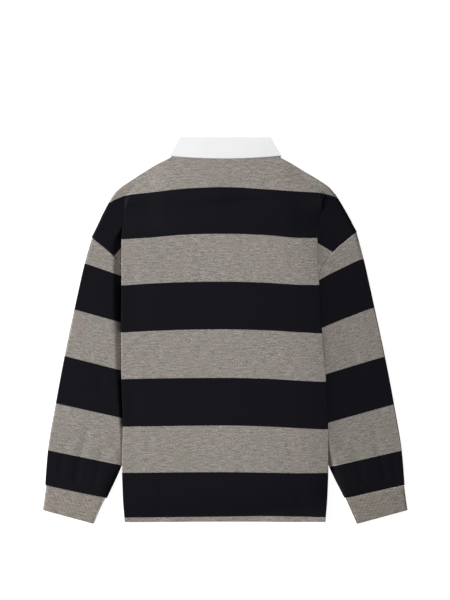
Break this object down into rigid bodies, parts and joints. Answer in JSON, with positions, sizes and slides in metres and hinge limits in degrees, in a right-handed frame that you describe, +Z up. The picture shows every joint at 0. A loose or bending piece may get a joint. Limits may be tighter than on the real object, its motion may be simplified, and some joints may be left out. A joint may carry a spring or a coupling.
{
  "type": "rugby shirt",
  "caption": "Long-sleeved striped rugby shirt with a plain twill collar and rib cuffs, laid flat on its front with its sleeves turned down.",
  "frame": {"origin": "bottom centre of the bounding box, on the surface that the shirt lies on", "axes": "+Y from the hem to the collar, +X to the viewer's right when the back is seen from above, +Z up"},
  "size_m": [0.6982, 0.7416, 0.0097],
  "materials": {
    "striped_jersey": "matte heavy cotton jersey in wide black and heather taupe-grey stripes",
    "cuff_rib": "matte heather taupe-grey rib knit",
    "collar_twill": "matte white cotton twill"
  },
  "bodies": {
    "root": {"back_panel": "striped_jersey", "front_panel": "striped_jersey", "sleeve_left": "striped_jersey", "sleeve_right": "striped_jersey", "placket": "striped_jersey", "cuff_left": "cuff_rib", "cuff_right": "cuff_rib", "collar": "collar_twill"}
  },
  "joints": []
}
